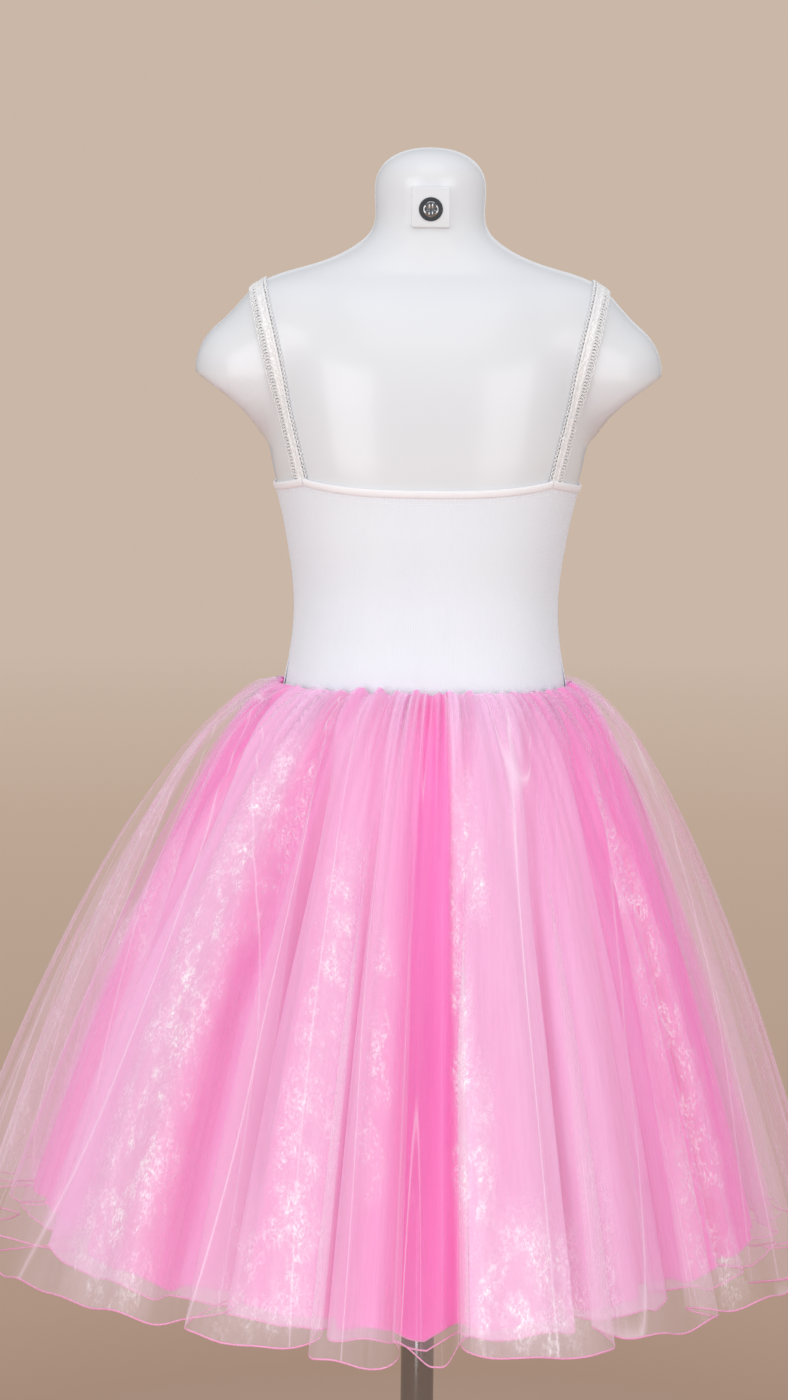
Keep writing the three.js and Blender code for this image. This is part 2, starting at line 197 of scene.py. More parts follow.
def closeEnds(bm):
    rims = [edge for edge in bm.edges if edge.is_boundary]
    bmesh.ops.holes_fill(bm, edges=rims, sides=0)
    return bm


def thicken(piece, thickness):
    shell = piece.modifiers.new("Thickness", "SOLIDIFY")
    shell.thickness = thickness * mm
    shell.offset = 1  # outwards
    return piece


def spinProfile(profile, steps):
    # profile is a list of (radius, height) in millimetres
    bm = bmesh.new()
    verts = [bm.verts.new((radius * mm, 0, height * mm)) for radius, height in profile]
    edges = [bm.edges.new(pair) for pair in zip(verts, verts[1:])]
    bmesh.ops.spin(bm, geom=verts + edges, axis=(0, 0, 1), cent=(0, 0, 0),
                   angle=2 * math.pi, steps=steps, use_merge=True)
    bmesh.ops.remove_doubles(bm, verts=bm.verts, dist=weldReach["profile"])
    bmesh.ops.recalc_face_normals(bm, faces=bm.faces)
    return bm


def around(angle, radius, height):
    # angle in degrees from +X towards +Y
    turn = np.radians(angle)
    return np.stack([radius * np.cos(turn), radius * np.sin(turn), height + 0 * turn], axis=-1)


def smoothStep(value, low, high):
    t = np.clip((value - low) / (high - low), 0, 1)
    return t * t * (3 - 2 * t)


def blendTo(first, second, share):
    return first + (second - first) * share


# the torso form

torso = {
    "bottom": 430, "domeStart": 969, "top": 997, "domePower": 2.3,
    "trunkPower": 2.25, "neckPower": 2, "trunkEnd": 890, "neckStart": 935,
    "sides": 176, "ringStep": 2.6, "domeSteps": 18, "rimRound": 0.03,
    "farOut": 220.0, "halvings": 24,  # for finding the skin along a line from inside
    # height, half width, back and front depth, from hip to neck
    "stations": [
        (430, 101, -78, 70), (500, 109, -90, 77), (570, 105, -85, 83), (631, 94, -71, 83),
        (690, 88.5, -66, 80), (740, 94.5, -72, 79), (790, 106, -78, 80), (840, 112, -76, 74),
        (880, 112, -63, 60), (901, 108, -50, 49), (912, 92, -42, 46), (928, 56, -36, 43),
        (943, 39, -33, 42.5), (969, 37.5, -32, 43),
    ],
}
armStub = {
    "start": (92, 0, 868), "end": (121, 0, 848), "startRadius": 38, "endRadius": 36.5,
    "cutPoint": (157, 0, 845), "cutNormal": (0.577, 0, -0.817), "blend": 22,
}


def readStations(heights):
    table = np.array(torso["stations"], float)
    z = np.clip(heights, table[0, 0], table[-1, 0])
    i = np.clip(np.searchsorted(table[:, 0], z, side="right") - 1, 0, len(table) - 2)
    low, high = table[i], table[i + 1]
    before, after = table[np.maximum(i - 1, 0)], table[np.minimum(i + 2, len(table) - 1)]
    span = high[:, :1] - low[:, :1]
    t = (z[:, None] - low[:, :1]) / span
    startSlope = (high - before) / (high[:, :1] - before[:, :1])
    endSlope = (after - low) / (after[:, :1] - low[:, :1])
    pull = t * (1 - t) ** 2 * startSlope * span + t ** 2 * (t - 1) * endSlope * span
    values = low + (high - low) * t * t * (3 - 2 * t) + pull
    return values[:, 1], values[:, 2], values[:, 3]


def formGap(points):
    # below 0 inside the form, about the distance to its skin outside
    x, y, z = points[:, 0], points[:, 1], points[:, 2]
    halfWidth, back, front = readStations(z)
    dome = np.clip((z - torso["domeStart"]) / (torso["top"] - torso["domeStart"]), 0, 1)
    shrink = np.maximum((1 - dome ** torso["domePower"]) ** (1 / torso["domePower"]), 0.001)
    neckShare = smoothStep(z, torso["trunkEnd"], torso["neckStart"])
    power = blendTo(torso["trunkPower"], torso["neckPower"], neckShare)
    width, depth = halfWidth * shrink, (front - back) / 2 * shrink
    total = (np.abs(x) / width) ** power + (np.abs(y - (front + back) / 2) / depth) ** power
    trunk = (total ** (1 / power) - 1) * np.minimum(width, depth)
    start, end = np.array(armStub["start"]), np.array(armStub["end"])
    mirrored = np.stack([np.abs(x), y, z], axis=1)
    along = np.clip((mirrored - start) @ (end - start) / ((end - start) @ (end - start)), 0, 1)
    nearest = start + along[:, None] * (end - start)
    radius = blendTo(armStub["startRadius"], armStub["endRadius"], along)
    limb = np.linalg.norm(mirrored - nearest, axis=1) - radius
    cut = (mirrored - np.array(armStub["cutPoint"])) @ np.array(armStub["cutNormal"])
    limb = np.maximum(limb, cut)
    t = np.clip(0.5 + 0.5 * (limb - trunk) / armStub["blend"], 0, 1)
    return limb + (trunk - limb) * t - armStub["blend"] * t * (1 - t)


def reachSkin(origins, directions):
    inside = np.zeros(len(origins))
    outside = np.full(len(origins), torso["farOut"])
    for _ in range(torso["halvings"]):
        middle = (inside + outside) / 2
        within = formGap(origins + directions * middle[:, None]) < 0
        inside, outside = np.where(within, middle, inside), np.where(within, outside, middle)
    return (inside + outside) / 2


def formRadius(angles, heights):
    angles, heights = np.broadcast_arrays(np.asarray(angles, float), np.asarray(heights, float))
    shape = angles.shape
    turn = np.radians(angles.ravel())
    directions = np.stack([np.cos(turn), np.sin(turn), 0 * turn], axis=1)
    origins = np.stack([0 * turn, 0 * turn, heights.ravel()], axis=1)
    return reachSkin(origins, directions).reshape(shape)


def formHeights():
    straight = np.arange(torso["bottom"], torso["domeStart"], torso["ringStep"])
    lift = np.sin(np.linspace(0, np.pi / 2, torso["domeSteps"])[:-1])
    rise = torso["top"] - torso["domeStart"]
    dome = torso["domeStart"] + rise * lift
    return np.concatenate([straight, dome, [torso["top"] - 0.02]])


def makeForm(material):
    heights = formHeights()

    def place(u, v):
        height = np.interp(v, np.linspace(0, 1, len(heights)), heights)
        angle = u * 360
        points = around(angle, formRadius(angle, height), height)
        rim = np.clip((heights[2] - height) / (heights[2] - heights[0]), 0, 1)
        points[:, :2] *= (1 - torso["rimRound"] * rim ** 2)[:, None]  # the bottom edge is a little rounded
        return points, {}

    bm = closeEnds(spreadGrid(torso["sides"], len(heights) - 1, place, wrapped=True))
    return makePiece("torsoForm", bm, material, ["torso_form"])


neckPad = {"width": 25.5, "bottom": 941, "top": 968, "proud": 2.6, "sunk": 4, "bevel": 1.1}


def neckFace():
    return -float(formRadius(-90, neckPad["bottom"])) - neckPad["proud"]


def makeNeckPad(material):
    face = neckFace()
    depth = neckPad["proud"] + neckPad["sunk"]
    bm = bmesh.new()
    bmesh.ops.create_cube(bm, size=1)
    size = Vector((neckPad["width"], depth, neckPad["top"] - neckPad["bottom"])) * mm
    bmesh.ops.scale(bm, vec=size, verts=bm.verts)
    centre = Vector((0, face + depth / 2, (neckPad["top"] + neckPad["bottom"]) / 2)) * mm
    bmesh.ops.translate(bm, vec=centre, verts=bm.verts)
    bmesh.ops.bevel(bm, geom=bm.edges[:], offset=neckPad["bevel"] * mm, segments=4, profile=0.5,
                    affect="EDGES", material=-1)
    return makePiece("neckPad", bm, material, ["neck_pad"])


neckBolt = {"height": 953, "ringRadius": 7.9, "headRadius": 5.7, "headHeight": 1.8, "crossWidth": 1.5}


def turnOntoNeck(bm):
    # the spun shape points up; the back of the neck faces -Y
    for vert in bm.verts:
        x, y, z = vert.co
        vert.co = Vector((x, -z, y)) + Vector((0, neckFace(), neckBolt["height"])) * mm
    return bm


def makeNeckRing(material):
    hole, rim = neckBolt["headRadius"] - 0.4, neckBolt["ringRadius"]
    profile = [(hole, 0.1), (rim - 0.4, 0.1), (rim, 0.3), (rim - 0.1, 0.8), (rim - 0.6, 1.05),
               (hole + 0.5, 0.95), (hole, 0.6), (hole, 0.1)]
    bm = turnOntoNeck(spinProfile(profile, 64))
    return makePiece("neckRing", bm, material, ["neck_ring"])


def makeNeckBolt(material):
    radius, rise = neckBolt["headRadius"], neckBolt["headHeight"]
    profile = [(0, 0.3), (radius - 0.3, 0.3), (radius, 0.6), (radius * 0.93, rise * 0.62),
               (radius * 0.75, rise * 0.86), (radius * 0.45, rise * 0.98), (0, rise)]
    bm = spinProfile(profile, 48)
    half = neckBolt["crossWidth"] / 2 * mm
    for normal, across in (((1, 0, 0), "x"), ((0, 1, 0), "y")):
        for side in (-half, half):
            spot = [side if axis == across else 0 for axis in "xyz"]
            bmesh.ops.bisect_plane(bm, geom=bm.verts[:] + bm.edges[:] + bm.faces[:],
                                   plane_co=spot, plane_no=normal)
    reach = radius * 0.62 * mm
    for vert in bm.verts:  # the cross recess is pressed into the head
        x, y = abs(vert.co.x), abs(vert.co.y)
        inCross = min(x, y) <= half * 1.01 and max(x, y) < reach and vert.co.z > rise * 0.5 * mm
        if inCross:
            vert.co.z -= 0.9 * mm * (1 - max(x, y) / reach) ** 0.5
    return makePiece("neckBolt", turnOntoNeck(bm), material, ["neck_bolt"])


# the stand

stand = {"baseRadius": 140, "baseThickness": 6, "hubRadius": 20, "hubHeight": 24, "poleRadius": 11.5}


def makeStand(material):
    radius, thick = stand["baseRadius"], stand["baseThickness"]
    hub, hubTop, pole = stand["hubRadius"], stand["hubHeight"], stand["poleRadius"]
    profile = [
        (0, 0), (radius - 1.5, 0), (radius - 0.4, 0.5), (radius, 1.6), (radius, thick - 2),
        (radius - 0.6, thick - 0.6), (radius - 2, thick), (hub + 2.5, thick), (hub + 0.7, thick + 0.6),
        (hub, thick + 2.2), (hub, hubTop - 2), (hub - 0.6, hubTop - 0.6), (hub - 2, hubTop),
        (pole + 0.3, hubTop), (pole + 0.3, thick + 0.2), (0, thick + 0.2),
    ]
    makePiece("standBase", spinProfile(profile, 160), material, ["stand_base"])
    top = torso["bottom"] - 0.3
    profile = [(0, thick + 0.3), (pole, thick + 0.3), (pole, 120), (pole, 260), (pole, top), (0, top)]
    makePiece("standPole", spinProfile(profile, 96), material, ["stand_pole"])


# bodice

bodice = {
    "bottom": 622, "clear": 0.5, "thickness": 0.9, "frontFullness": 1.6, "fullnessTop": 676,
    "backStrapAngle": -32, "frontStrapAngle": 42,
    "backStrap": 775, "frontStrap": 788, "back": 768, "underarm": 772, "underarmAngle": -8,
    "front": 770, "neckPower": 3,  # the neckline is flat in the middle and rises near the straps
    "across": 120, "down": 60, "seamHeight": 0.35, "seamWidth": 3, "dragHeight": 0.22,
}
binding = {"height": 5.2, "thickness": 2.6, "clear": 0.3}


def topEdgeHeight(angles):
    # the two sides mirror each other
    wrapped = np.degrees(np.arcsin(np.sin(np.radians(angles))))
    back, front = bodice["backStrapAngle"], bodice["frontStrapAngle"]
    lowAngle = bodice["underarmAngle"]
    power, underarm = bodice["neckPower"], bodice["underarm"]
    backShare = np.abs((wrapped + 90) / (back + 90)) ** power
    frontShare = np.abs((90 - wrapped) / (90 - front)) ** power
    onBack = blendTo(bodice["back"], bodice["backStrap"], backShare)
    onFront = blendTo(bodice["front"], bodice["frontStrap"], frontShare)
    falling = ((lowAngle - wrapped) / (lowAngle - back)) ** 2
    rising = ((wrapped - lowAngle) / (front - lowAngle)) ** 2
    onSide = np.where(wrapped < lowAngle, blendTo(underarm, bodice["backStrap"], falling),
                      blendTo(underarm, bodice["frontStrap"], rising))
    return np.where(wrapped < back, onBack, np.where(wrapped < front, onSide, onFront))


def bodiceRadius(angle, height, isFront):
    below = np.clip((bodice["fullnessTop"] - height) / (bodice["fullnessTop"] - bodice["bottom"]), 0, 1)
    fullness = bodice["frontFullness"] * smoothStep(below, 0, 1) if isFront else 0
    # soft drag lines: shallow level waves at the waist, a little looser near the skirt
    turn = np.radians(angle)
    waves = np.sin(height * 0.16 + 2.1 * np.sin(turn * 2)) * np.sin(height * 0.047 + 3 * np.cos(turn))
    drag = bodice["dragHeight"] * waves * smoothStep(-height, -700, -640)
    return formRadius(angle, height) + bodice["clear"] + fullness + drag


def makeBodicePanel(name, start, end, isFront, material, node):
    def place(u, v):
        angle = blendTo(start, end, u)
        top = topEdgeHeight(angle) - binding["height"] * 0.55
        height = blendTo(bodice["bottom"], top, v)
        radius = bodiceRadius(angle, height, isFront)
        seam = np.minimum(u, 1 - u) * abs(end - start) * 1.7  # about millimetres from the side seam
        radius = radius + bodice["seamHeight"] * np.exp(-(seam / bodice["seamWidth"]) ** 2)
        return around(angle, radius, height), {}

    bm = spreadGrid(bodice["across"], bodice["down"], place)
    piece = thicken(makePiece(name, bm, material, [node]), bodice["thickness"])
    return piece


def makeBinding(name, start, end, material, node):
    half, fat = binding["height"] / 2, binding["thickness"] / 2

    def place(u, v):
        angle = blendTo(start, end, u)
        turn = 2 * np.pi * v
        top = topEdgeHeight(angle)
        height = top - half + half * np.sin(turn)
        lean = formRadius(angle, top) - formRadius(angle, top - 2 * half)
        skin = formRadius(angle, top - half) + lean * 0.5 * np.sin(turn)
        radius = skin + binding["clear"] + fat + fat * np.sign(np.cos(turn)) * np.abs(np.cos(turn)) ** 0.75
        return around(angle, radius, height), {}

    across = max(24, int(abs(end - start) * 1.2))
    bm = spreadGrid(across, 20, place)
    bmesh.ops.remove_doubles(bm, verts=bm.verts, dist=weldReach["grid"])
    bmesh.ops.recalc_face_normals(bm, faces=bm.faces)
    closeEnds(bm)
    return makePiece(name, bm, material, [node])


# straps

strap = {
    "topX": 115.5, "topHeight": 906, "pivotHeight": 790,
    "backLean": 0.24, "frontLean": 0.36,  # sideways travel for each unit of height
    "lift": -2.2,                         # the ends run down under the binding
    "clear": 0.6, "thickness": 0.9,
    "bandInner": -4.2, "bandOuter": 1.9,  # the woven band, measured outwards from the middle
    "laceOuter": 7.0, "picotDepth": 2.4,
    "repeat": 4.4,
    "cordInset": 0.9, "cordHeight": 0.35, "cordWidth": 0.55,
    "laceLift": 0.7, "laceWeave": 0.2, "threadStep": 0.42,
    "samples": 241, "reachAcross": 9, "columns": 13, "probeDepth": 60, "levelReach": 9,
    "bandAcross": 26, "bandAlong": 320,
}


def strapPoint(turns, side):
    turns = np.asarray(turns, float)
    lean = np.where(turns < np.pi / 2, strap["backLean"], strap["frontLean"])
    rise = strap["topHeight"] - strap["pivotHeight"]
    zero = 0 * turns
    origins = np.stack([side * (strap["topX"] - lean * rise), zero, zero + strap["pivotHeight"]], axis=1)
    directions = np.stack([side * lean * np.sin(turns), -np.cos(turns), np.sin(turns)], axis=1)
    return origins + directions * reachSkin(origins, directions)[:, None]


def skinNormal(points):
    step = 0.5
    slopes = [formGap(points + step * axis) - formGap(points - step * axis) for axis in np.eye(3)]
    normal = np.stack(slopes, axis=1)
    return normal / np.linalg.norm(normal, axis=1, keepdims=True)


def strapTurnAt(height, isFront, side):
    low, high = (np.pi / 2, np.pi + 0.6) if isFront else (-0.6, np.pi / 2)
    for _ in range(30):
        middle = (low + high) / 2
        above = strapPoint([middle], side)[0, 2] > height
        low, high = (middle, high) if above == isFront else (low, middle)
    return (low + high) / 2


def unit(vectors):
    return vectors / np.linalg.norm(vectors, axis=-1, keepdims=True)


def strapTable(side):
    # the skin under the strap, by length along it and distance out from its middle
    start = strapTurnAt(bodice["backStrap"] + strap["lift"], False, side)
    end = strapTurnAt(bodice["frontStrap"] + strap["lift"], True, side)
    centre = strapPoint(np.linspace(start, end, strap["samples"]), side)
    normal = skinNormal(centre)
    along = unit(np.gradient(centre, axis=0))
    outward = unit(np.cross(along, normal)) * side
    length = np.concatenate([[0], np.cumsum(np.linalg.norm(np.diff(centre, axis=0), axis=1))])
    nearEnd = np.minimum(length, length[-1] - length)
    level = np.exp(-(nearEnd / strap["levelReach"]) ** 2)[:, None]  # the ends lie level along the binding
    outward = unit(outward * (1 - level * np.array([[0, 0, 1]])))
    across = np.linspace(-strap["reachAcross"], strap["reachAcross"], strap["columns"])
    spots = centre[:, None] + outward[:, None] * across[None, :, None]
    normals = np.broadcast_to(normal[:, None], spots.shape).reshape(-1, 3)
    origins = spots.reshape(-1, 3) - strap["probeDepth"] * normals
    skin = (origins + normals * reachSkin(origins, normals)[:, None]).reshape(spots.shape)
    return {"length": length, "across": across, "skin": skin, "normal": normal}


def strapSpot(table, along, across, lift):
    along, across = np.broadcast_arrays(along, across)
    row = np.interp(along, table["length"], np.arange(len(table["length"])))
    column = np.interp(across, table["across"], np.arange(len(table["across"])))
    i = np.minimum(row.astype(int), len(table["length"]) - 2)
    j = np.minimum(column.astype(int), len(table["across"]) - 2)
    a, b = (row - i)[:, None], (column - j)[:, None]
    skin = table["skin"]
    low = blendTo(skin[i, j], skin[i, j + 1], b)
    high = blendTo(skin[i + 1, j], skin[i + 1, j + 1], b)
    normal = unit(blendTo(table["normal"][i], table["normal"][i + 1], a))
    return blendTo(low, high, a) + normal * np.broadcast_to(lift, row.shape)[:, None], normal


def makeStrapBand(name, table, side, material, node):
    inner, outer = strap["bandInner"], strap["bandOuter"]
    total = table["length"][-1]

    def place(u, v):
        along = v * total
        across = blendTo(inner, outer, u if side > 0 else 1 - u)
        # two raised cords run along the band's edges
        inset = strap["cordInset"]
        edge = np.minimum(np.abs(across - inner - inset), np.abs(across - outer + inset))
        lift = strap["clear"] + strap["cordHeight"] * np.exp(-(edge / strap["cordWidth"]) ** 2)
        points, _ = strapSpot(table, along, across, lift)
        return points, {}

    bm = spreadGrid(strap["bandAcross"], strap["bandAlong"], place)
    return thicken(makePiece(name, bm, material, [node]), strap["thickness"])


def addThread(target, path, radius, sides=6):
    # path(t) gives points and normals for t from 0 to 1
    count = path["count"]

    def place(u, v):
        points, normal = path["at"](u)
        ahead, _ = path["at"](np.clip(u + 0.5 / count, 0, 1))
        behind, _ = path["at"](np.clip(u - 0.5 / count, 0, 1))
        across = unit(np.cross(ahead - behind, normal))
        turn = 2 * np.pi * v[:, None]
        return points + radius * (np.cos(turn) * unit(np.cross(across, ahead - behind))
                                  + np.sin(turn) * across), {}

    bm = spreadGrid(count, sides, place)
    bmesh.ops.remove_doubles(bm, verts=bm.verts, dist=weldReach["thread"])
    closeEnds(bm)
    bmesh.ops.recalc_face_normals(bm, faces=bm.faces)
    joined = bpy.data.meshes.new("thread")
    bm.to_mesh(joined)
    bm.free()
    target.from_mesh(joined)
    bpy.data.meshes.remove(joined)


def makeStrapLace(name, table, material):
    total, repeat = table["length"][-1], strap["repeat"]
    outer, band, inner = strap["laceOuter"], strap["bandOuter"], strap["bandInner"]
    reach = outer - band

    def wave(phase):
        return lambda s: band - 0.2 + (reach - 0.6) * (0.5 - 0.5 * np.cos(2 * np.pi * (s / repeat + phase)))

    picot = repeat * 0.62
    routes = [  # each thread's distance out from the middle, and its radius
        (wave(0), 0.46), (wave(0.5), 0.46),
        (lambda s: outer - 0.8 + 0.8 * np.abs(np.sin(np.pi * s / repeat)), 0.5),
        (lambda s: band + 0.45 * reach + 0.5 * np.sin(4 * np.pi * s / repeat), 0.24),
        (lambda s: inner - strap["picotDepth"] * np.abs(np.sin(np.pi * s / picot)) ** 0.8, 0.42),
    ]
    lace = bmesh.new()
    count = int(total / strap["threadStep"])
    for number, (across, radius) in enumerate(routes):
        def at(t, across=across, number=number):
            along = t * total
            weave = strap["laceWeave"] * np.sin(2 * np.pi * along / repeat + number)
            lift = strap["clear"] + strap["laceLift"] + weave
            return strapSpot(table, along, across(along), lift)
        addThread(lace, {"count": count, "at": at}, radius)
    return makePiece(name, lace, material)


# stitches

stitch = {"length": 2.3, "gap": 0.8, "radius": 0.22, "twinGap": 2.6, "girthRadius": 98}


def addStitch(target, start, end, radius):
    run = Vector(end) - Vector(start)
    turn = run.to_track_quat("X", "Z").to_matrix().to_4x4()
    middle = Matrix.Translation((Vector(start) + Vector(end)) / 2 * mm)
    size = Matrix.Diagonal((run.length / 2 * mm, radius * mm, radius * mm, 1))
    bmesh.ops.create_icosphere(target, subdivisions=1, radius=1, matrix=middle @ turn @ size)


def stitchSkin(angle, height):
    radius = float(formRadius(angle, height)) + bodice["clear"] + bodice["thickness"] + 0.1
    return around(np.array(angle), radius, np.array(height))


def makeStitches(name, start, end, rows, zigzag, material):
    # rows are distances below the binding's lower edge
    lines = bmesh.new()
    pitch = stitch["length"] + stitch["gap"]
    degrees = pitch / stitch["girthRadius"] * 57.3
    count = int(abs(end - start) / degrees)
    for row in rows:
        for i in range(count):
            first = start + (end - start) * (i + 0.15) / count
            last = start + (end - start) * (i + 0.85) / count
            sway = zigzag if i % 2 else -zigzag
            top = [float(topEdgeHeight(a)) - binding["height"] - row for a in (first, last)]
            addStitch(lines, stitchSkin(first, top[0] - sway), stitchSkin(last, top[1] + sway),
                      stitch["radius"])
    return makePiece(name, lines, material)


# skirt

skirt = {
    "top": 634, "sway": 18, "hemTilt": 12, "depthLoss": 8, "topStep": 0.9,
    "firstFold": -59.5,  # degrees from the middle of the back, towards +X
    # each flute: degrees at the hem, how far its crest sits in as a share of the depth,
    # and how much higher its hem hangs
    "flutes": [
        (35.5, 0, 0), (14.5, 0.05, -3), (9.5, -0.1, -9), (10.5, 0.4, -17), (18.6, 0, -3), (17.4, 0.1, 1),
        (19, 0, 8), (18, 0.05, 12), (24, 0, 4), (20, 0.1, -3), (23, 0, 3), (19, 0.1, -2),
        (25, 0, 4), (22, 0, -2), (20, 0.1, 3), (24, 0, -3), (21, 0, 6), (19, 0.1, 12),
    ],
    "plainFlute": 22, "deepest": 1.15, "leastFold": 0.08,
    # how far each flute lies over the folds on its left and right, as a share of its width
    "overhangs": [
        (0.33, 0.22), (0.32, 0.24), (0.26, 0.3), (-0.08, -0.08), (0.31, 0.16), (0.2, 0.34), (0.2, 0.3),
        (0.34, 0.2), (0.2, 0.34), (0.3, 0.2), (0.34, 0.26), (0.18, 0.32), (0.32, 0.2), (0.22, 0.34),
        (0.3, 0.18), (0.34, 0.24), (0.2, 0.3), (0.3, 0.2),
    ],
    "foldSharpness": 2.4,     # above 1 the flutes are broad and the folds between them narrow
    "waistSpread": 20,        # degrees that folds open out towards the sides at the waist
    "waistReach": 0.14,       # and the share of the drop in which they do
    "lean": 0.14, "swell": 5, "foldMilk": 0.65,
    "gathersNear": (2.4, 0.05), "gathersFar": (2.0, 0.22),  # height, and reach as a share of the drop
    "popHeight": 2.6, "popDepth": 1.6, "popReach": 0.02,
    "seed": 7,
}
# ripples round the skirt: fewest and most waves, how many are summed, and how far they slant
ripples = {
    "broad": (17, 42, 9, 1.4), "narrow": (48, 90, 8, 2.2), "tight": (70, 130, 10, 0.6),
    "loose": (34, 64, 8, 0.9), "pops": (22, 48, 9, 0),
}
layers = {
    "inner": {"hem": 265, "hemRadius": 248, "flare": 0.7, "depth": 34, "across": 1000, "down": 60,
              "ripple": 3.6, "rippleSeed": 3, "crinkle": 0.15, "overhang": 0.4, "top": 0.6,
              "milkSpread": 1.0, "evenHem": 1},
    "middle": {"hem": 263, "hemRadius": 264, "flare": 0.68, "depth": 41, "across": 1100, "down": 64,
               "ripple": 3.8, "rippleSeed": 3, "crinkle": 0.25, "overhang": 0.7, "top": 1.4,
               "milkSpread": 1.0, "evenHem": 1},
    "overlay": {"hem": 261, "hemRadius": 302, "flare": 0.6, "depth": 52, "across": 1300, "down": 72,
                "ripple": 2.4, "rippleSeed": 11, "crinkle": 0.7, "overhang": 1.0, "top": 2.3,
                "milkSpread": 1.25, "evenHem": 0},
}
# how milky the cloth looks, by degrees from the middle of the back
milkyBands = [
    (-90, 0.1), (-78, 0.1), (-67, 0.15), (-65, 0.8), (-58, 0.9), (-50, 1.0), (-41, 0.85), (-37.5, 0.35),
    (-31, 0.3), (-29.5, 0.8), (-20, 0.75), (-12, 0.95), (-7, 0.8), (-4, 0.5), (0, 0.35), (1, 0.0),
    (10, 0.0), (11, 1.1), (22, 1.05), (36, 1.0), (39, 0.8), (48, 0.65), (51, 0.2), (68, 0.1), (90, 0.15),
    (98, 0.8), (118, 0.85), (121, 0.4), (138, 0.35), (141, 1.0), (164, 0.9), (167, 0.3), (184, 0.4),
    (187, 1.0), (212, 0.85), (215, 0.35), (232, 0.3), (235, 0.95), (256, 0.8), (259, 0.3),
]
# where the overlay is creased, with painted glints and painted sheen on the creases: degrees from the
# middle of the back, half width in degrees, from and to as shares of the drop, strength
crumpleAndPaintedGlintPatches = [
    (-37.5, 6, 0.08, 1.0, 1.0), (-30, 3, 0.04, 0.4, 0.6), (-13.5, 4, 0.22, 0.98, 0.9),
    (-18, 4, 0.75, 1.0, 0.5), (-4, 2.5, 0.3, 0.75, 0.6), (9.5, 1.6, 0.2, 0.8, 0.9),
    (12, 3, 0.13, 0.33, 1.6), (17, 6.5, 0.78, 1.0, 1.0), (11.5, 1.8, 0.55, 1.0, 0.9),
    (29, 2, 0.7, 1.0, 0.4), (50, 2.5, 0.1, 1.0, 0.7), (44, 3, 0.7, 1.0, 0.6), (-62, 1.6, 0.05, 0.5, 0.5),
    (100, 7, 0.2, 1.0, 0.8), (128, 5, 0.4, 1.0, 0.6), (152, 7, 0.1, 0.9, 0.8), (178, 5, 0.3, 1.0, 0.6),
    (203, 7, 0.2, 1.0, 0.9), (232, 5, 0.35, 0.95, 0.6), (256, 6, 0.15, 1.0, 0.8),
    (-88, 1.5, 0.2, 0.95, 0.5),
]


def fluteEdges():
    widths = np.array([flute[0] for flute in skirt["flutes"]], float)
    widths *= 360 / widths.sum()
    return skirt["firstFold"] + np.concatenate([[0], np.cumsum(widths)])


def milkiness(degrees, spread):
    # an outer layer shows the same bands nearer the middle of the back and of the front
    side = (degrees + 90) % 180 - 90
    spread = np.clip(side * spread, -90, 90)
    angles, shares = np.array(milkyBands).T
    return np.interp(degrees - side + spread, angles, shares, period=360)


def bandNoise(random, turn, drop, lowest, highest, count, slant):
    # a sum of whole waves round the skirt, so that it closes on itself
    total = 0 * turn
    for _ in range(count):
        waves = int(random.integers(lowest, highest))
        phase, lean = random.uniform(0, 2 * np.pi), random.uniform(-slant, slant)
        total = total + np.sin(waves * turn + phase + lean * drop)
    return total / math.sqrt(count / 2)


